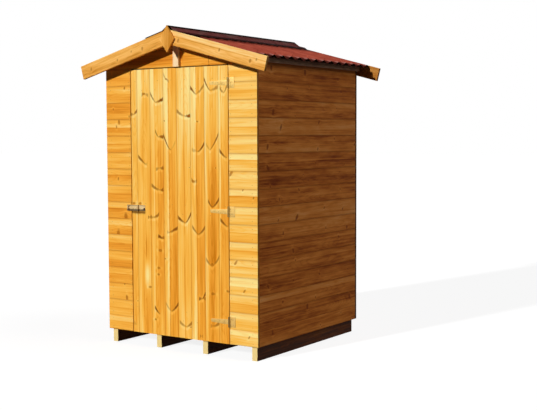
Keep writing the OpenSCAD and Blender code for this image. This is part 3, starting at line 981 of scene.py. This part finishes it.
def door_boards():
    """Upright boards, each with its own knots, spike knots and sapwood."""
    boards = Boards(21)
    ends = (lambda c: DOOR_LOW.z, lambda c: DOOR_HIGH.z)
    for i, (left, right) in enumerate(zip(DOOR_EDGES, DOOR_EDGES[1:])):
        half = (right - left) / 2
        middle = (left + right) / 2
        thick = DOOR_HIGH.y - DOOR_LOW.y
        profile = board_profile(-half, half, thick, 1.2 * MM, i > 0, i < len(DOOR_MARKS) - 1)
        marks = [(height * MM, x * MM - middle, in_metres(one), in_metres(other), heart)
                 for height, x, one, other, heart in DOOR_MARKS[i]]
        knots = [(height * MM, x * MM - middle, radius * MM) for height, x, radius in DOOR_KNOTS[i]]
        wide, pale, line = DOOR_SAPWOOD[i]
        sap = (wide * MM - half, pale, line)
        origin = Vector((middle, DOOR_HIGH.y, 0))
        boards.add(origin, (Z, X, -Y), profile, ends, half, knots, marks, DOOR_CHANCES[i], sap)
    boards.make("door_boards", door_pine, "door_leaf", "door")


def in_metres(arm):
    """A spike knot's arm with its reach and rise in metres."""
    reach, rise, darkness = arm
    return reach * MM, rise * MM, darkness


# ---- roof


def down_slope(side):
    """The way down the roof at one side, and the way up out of it."""
    along = Vector((side * math.cos(PITCH), 0, -math.sin(PITCH)))
    up = Vector((side * math.sin(PITCH), 0, math.cos(PITCH)))
    return along, up


def bargeboard(node, side, seed, chance, sap, knots):
    """A board down the slope, plumb at the ridge and square at its lower end. The sap's edge
    and the knots are in millimetres."""
    boards = Boards(seed)
    low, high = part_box(node)
    back = low.y > 0
    tip_x = max(abs(low.x), abs(high.x))
    half = BARGE_H / 2
    along, across = down_slope(side)
    inner_y, out = (low.y, Y) if back else (high.y, -Y)
    profile = plain_profile(-half, half, high.y - low.y, 1.5 * MM)
    ends = (lambda c: (half - c) * SLOPE, lambda c: tip_x / math.cos(PITCH))
    origin = Vector((0, inner_y, high.z)) - across * half
    knots = [tuple(size * MM for size in knot) for knot in knots]
    sap = (sap[0] * MM, *sap[1:])
    # The back bargeboards' inner faces take the dark end tone: painted shade
    sawn = (1.0, 1.0, 0.8 if back else 0.0)
    axes = (along, across, out)
    boards.add(origin, axes, profile, ends, half + CLEAR_EDGE, knots, (), chance, sap, sawn)
    boards.make(node + "_board", trim_pine, node)


def wave_sheet(node, side):
    """A corrugated sheet as one closed skin: rows along the slope, columns along the wave."""
    low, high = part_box(node)
    rows = 12
    length = high.y - low.y
    columns = int(length / WAVE_PITCH * 28)
    start, stop = sorted((abs(low.x), abs(high.x)))
    along, up = down_slope(side)
    origin = Vector((0, low.y, RIDGE_Z))
    points = []
    for depth in (0.0, 3 * MM):
        for i in range(rows + 1):
            a = (start + (stop - start) * i / rows) / math.cos(PITCH)
            for j in range(columns + 1):
                y = length * j / columns
                wave = math.cos(2 * math.pi * (y + WAVE_LEAD) / WAVE_PITCH)
                h = WAVE_RISE + WAVE_DEPTH / 2 * (wave - 1) - depth
                points.append(origin + along * a + up * h + Y * y)
    wide = columns + 1
    under = (rows + 1) * wide
    upper = [i * wide + j for i in range(rows) for j in range(columns)]
    faces = [(a, a + 1, a + wide + 1, a + wide) for a in upper]
    faces += [(under + a, under + a + wide, under + a + wide + 1, under + a + 1) for a in upper]
    for first in (0, rows * wide):
        faces += [(a, a + 1, under + a + 1, under + a) for a in range(first, first + columns)]
    for first in (0, columns):
        faces += [(a, a + wide, under + a + wide, under + a)
                  for a in range(first, first + rows * wide, wide)]
    mesh = solid_mesh(node + "_skin", points, faces)
    piece = finish_mesh(node + "_skin", mesh, sheet_red, "shed", node, smooth=True)
    mesh.materials.append(sheet_under)
    for face in mesh.polygons:
        face.material_index = 0 if face.normal.dot(up) > 0.3 else 1
    sharpen(piece, 50)


# ---- screws and nails

# Radius and height of their heads, and how many sides they have
NAIL = (1.9 * MM, 0.6 * MM, 10)
SCREW = (3.4 * MM, 1.2 * MM, 14)
SMALL_SCREW = (3.0 * MM, 1.2 * MM, 14)
BOLT = (7.5 * MM, 4.0 * MM, 20)
CAPPED_NAIL = (9 * MM, 6 * MM, 16)

LEVELS = ("bottom", "middle", "top")

# Nails stand in pairs, this far under and over a board's middle
NAIL_PAIR = (-30 * MM, 30 * MM)
NAIL_IN = 12 * MM


def heads(name, places, size, body, material):
    """Domed heads, each at a point with an outward direction, as one mesh."""
    radius, high, sides = size
    rings = ((1.0, -0.5), (1.0, 0.2), (0.8, 0.72), (0.4, 1.0))
    angles = [2 * math.pi * s / sides for s in range(sides)]
    points = []
    faces = []
    for place, out in places:
        turn = Vector(out).to_track_quat("Z", "Y").to_matrix()
        first = len(points)
        for reach, rise in rings:
            reach *= radius
            for angle in angles:
                spot = Vector((reach * math.cos(angle), reach * math.sin(angle), rise * high))
                points.append(Vector(place) + turn @ spot)
        for ring in range(first, len(points) - sides, sides):
            for s in range(sides):
                a, b = ring + s, ring + (s + 1) % sides
                faces.append((a, b, b + sides, a + sides))
        faces.append(tuple(range(len(points) - sides, len(points))))
        faces.append(tuple(range(first + sides - 1, first - 1, -1)))
    mesh = solid_mesh(name, points, faces)
    finish_mesh(name, mesh, material, body, smooth=True)


def board_nails():
    """Two nails through each wall board into every post behind it."""
    places = {"front": [], "back": [], "right": [], "left": []}
    post = 20 * MM
    edge = WALL_X - CLAD - post
    for z, top, _ in rows_of_boards(DOOR_TOP):
        for turn, side in ((-1, "left"), (1, "right")):
            for rise in NAIL_PAIR:
                height = (z + top) / 2 + rise
                for x in (DOOR_X + NAIL_IN, edge):
                    places["front"].append(((turn * x, FRONT_Y, height), TO_FRONT))
                places["back"].append(((turn * edge, BACK_Y, height), Y))
                for y in (FRONT_INNER_Y + post, BACK_INNER_Y - post):
                    places[side].append(((turn * WALL_X, y, height), X * turn))
    for side, spots in places.items():
        heads("nails_" + side, spots, NAIL, "shed", nail_steel)


def door_nails():
    """Two nails through each door board into every ledge behind it."""
    spots = []
    for level in LEVELS:
        height = middle_height("door_ledge_" + level)
        for left, right in zip(DOOR_EDGES, DOOR_EDGES[1:]):
            for rise in NAIL_PAIR:
                x = (left + right) / 2 + math.copysign(NAIL_IN, rise)
                spots.append(((x, DOOR_LOW.y, height + rise), TO_FRONT))
    heads("nails_door", spots, NAIL, "door", nail_steel)


def middle_height(node):
    low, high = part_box(node)
    return (low.z + high.z) / 2


def hinge_screws():
    """Three screws along each strap and four in each plate."""
    straps = []
    plates = []
    for level in LEVELS:
        height = middle_height("hinge_plate_" + level)
        for reach in (38 * MM, 78 * MM, 118 * MM):
            straps.append(((HINGE_PIN_X - reach, METAL_Y, height), TO_FRONT))
        for reach in (16 * MM, 32 * MM):
            for rise in (-17 * MM, 17 * MM):
                plates.append(((HINGE_PIN_X + reach, METAL_Y, height + rise), TO_FRONT))
    heads("screws_straps", straps, SCREW, "door", screw_zinc)
    heads("screws_plates", plates, SCREW, "shed", screw_zinc)


def latch_fixings():
    """Screws in the hasp's plate, and the dark head of the bolt at its right end."""
    low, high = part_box("hasp_plate")
    height = middle_height("hasp_plate")
    screws = [((low.x + 26 * MM, METAL_Y, height + rise), TO_FRONT) for rise in (-12 * MM, 12 * MM)]
    heads("screws_hasp", screws, SMALL_SCREW, "door", screw_zinc)
    bolt = [((high.x - 8 * MM, METAL_Y, height - 5 * MM), TO_FRONT)]
    heads("bolt_hasp", bolt, BOLT, "door", dark_iron)


def roof_nails():
    """A capped nail on every second crest over each purlin."""
    places = []
    for side in (-1, 1):
        along, up = down_slope(side)
        reach = (PURLIN_IN + 30 * MM) / math.cos(PITCH)
        y = WAVE_PITCH - WAVE_LEAD
        while y < SHEET_HIGH.y - SHEET_LOW.y:
            origin = Vector((0, SHEET_LOW.y + y, RIDGE_Z))
            places.append((origin + along * reach + up * WAVE_RISE, up))
            y += 2 * WAVE_PITCH
    heads("nails_roof", places, CAPPED_NAIL, "shed", sheet_red)


# ---- build

front_strip("left", 11, wall_pine)
front_strip("right", 17, right_pine)
front_gable()
back_wall()
side_wall(1, "right", 13)
side_wall(-1, "left", 14)
floor_boards()
door_boards()

bargeboard("bargeboard_front_left", -1, 31, 0.32, (-34, -0.14, 0.0),
           [(235, -8, 9), (330, 4, 6), (460, -12, 7), (700, 0, 8)])
bargeboard("bargeboard_front_right", 1, 32, 0.55, (16, 0.18, 0.30),
           [(100, -4, 8), (430, 4, 6), (672, -10, 8), (715, 8, 6)])
bargeboard("bargeboard_back_left", -1, 33, 0.3, (-100, -0.1, 0.0), [(400, 10, 6)])
bargeboard("bargeboard_back_right", 1, 34, 0.2, (-100, -0.2, 0.0), [(500, -20, 6)])

for number in (1, 2, 3, 4):
    timber(f"skid_{number}", Y, base_pine, arris=2 * MM)
for post in ("corner_post_front_", "corner_post_back_", "door_post_"):
    timber(post + "left", Z, sawn_pine)
    timber(post + "right", Z, sawn_pine)
timber("door_head", X, sawn_pine)
timber("ridge_beam", Y, sawn_pine)
timber("eaves_purlin_left", Y, purlin_pine)
timber("eaves_purlin_right", Y, purlin_pine)
timber("gable_batten", Z, batten_pine, chance=0.95)
timber("finial_front", Z, trim_pine, chance=-0.1)
timber("finial_back", Z, trim_pine, chance=0.4)
for level in LEVELS:
    timber("door_ledge_" + level, X, sawn_pine, body="door")
timber("door_braces", (-0.6, 0, 0.8), sawn_pine, body="door")

wave_sheet("roof_sheet_left", -1)
wave_sheet("roof_sheet_right", 1)
plated("ridge_cap", cap_red, "shed")

for level in LEVELS:
    plated("hinge_plate_" + level, zinc_plate, "shed")
    plated("hinge_strap_" + level, zinc_plate, "door")
plated("staple", zinc_latch, "shed")
plated("hasp_plate", zinc_latch, "door")
plated("hasp_strap", zinc_latch, "hasp")

board_nails()
door_nails()
hinge_screws()
latch_fixings()
roof_nails()

# ---- floor, light and camera

FLOOR_REACH = 60.0
UNDER_SKIDS = 0.3 * MM
WHITE = (1, 1, 1, 1)


def studio_floor():
    """A pale floor that keeps the shadow. Only the camera sees its full brightness."""
    mesh = bpy.data.meshes.new("studio_floor")
    ways = ((-1, -1), (1, -1), (1, 1), (-1, 1))
    corners = [(x * FLOOR_REACH, y * FLOOR_REACH, 0) for x, y in ways]
    mesh.from_pydata(corners, [], [(0, 1, 2, 3)])
    floor = linked("studio_floor", mesh)
    floor.location.z = -UNDER_SKIDS
    g = Surface("studio_floor", roughness=1.0, specular=0.0)
    seen = g.seen()
    g.put_all(g.shader, {"Emission Color": WHITE, "Emission Strength": seen * 0.85})
    g.colour = g.mix(seen, (0.08, 0.08, 0.08, 1), (0.25, 0.25, 0.25, 1))
    mesh.materials.append(g.done())


def sun(name, direction, strength, angle):
    """A distant light that shines from a direction."""
    lamp = bpy.data.lights.new(name, "SUN")
    lamp.energy = strength * math.pi
    lamp.angle = math.radians(angle)
    linked(name, lamp).rotation_euler = direction.to_track_quat("Z", "Y").to_euler()


def toward(azimuth, elevation):
    """The way to a light: azimuth from the door's front towards +X, in degrees."""
    turn, rise = math.radians(azimuth), math.radians(elevation)
    level = X * math.sin(turn) - Y * math.cos(turn)
    return level * math.cos(rise) + Z * math.sin(rise)


def sky(front, back):
    """Soft light from all round, brighter behind the shed. The camera sees it as white."""
    world = bpy.data.worlds.new("sky")
    bpy.context.scene.world = world
    world.use_nodes = True
    g = Graph(world.node_tree)
    _, y, _ = g.split(g.out(g.add("TexCoord"), "Generated"))
    level = y.smooth(0.0, 1.0, "LINEAR") * (back - front) + front
    light = {"Color": WHITE, "Strength": level + g.seen() * (1.0 - level)}
    g.put_all(world.node_tree.nodes["Background"], light)


# Where the camera stands, and how far it turns, looks down and leans
CAMERA_PLACE = (4.2039, -5.8119, 1.3998)
CAMERA_TURN = 0.5952
CAMERA_DOWN = 0.0670
CAMERA_LEAN = -0.0040
CAMERA_LENS = 69.0


def camera():
    """At eye height, right of the door, with a slightly long lens."""
    data = bpy.data.cameras.new("camera")
    data.sensor_width = 36.0
    data.lens = CAMERA_LENS
    data.clip_end = 200.0
    holder = linked("camera", data)
    turn = Matrix.Rotation(CAMERA_TURN, 4, "Z") @ Matrix.Rotation(math.pi / 2 - CAMERA_DOWN, 4, "X")
    place = Matrix.Translation(CAMERA_PLACE)
    holder.matrix_world = place @ turn @ Matrix.Rotation(CAMERA_LEAN, 4, "Z")
    bpy.context.scene.camera = holder


studio_floor()
sky(0.02, 0.34)
sun("key", toward(-13, 22), 1.02, 2.5)
sun("fill", toward(105, 50), 0.30, 35)
camera()
bpy.context.scene.view_settings.view_transform = "Standard"
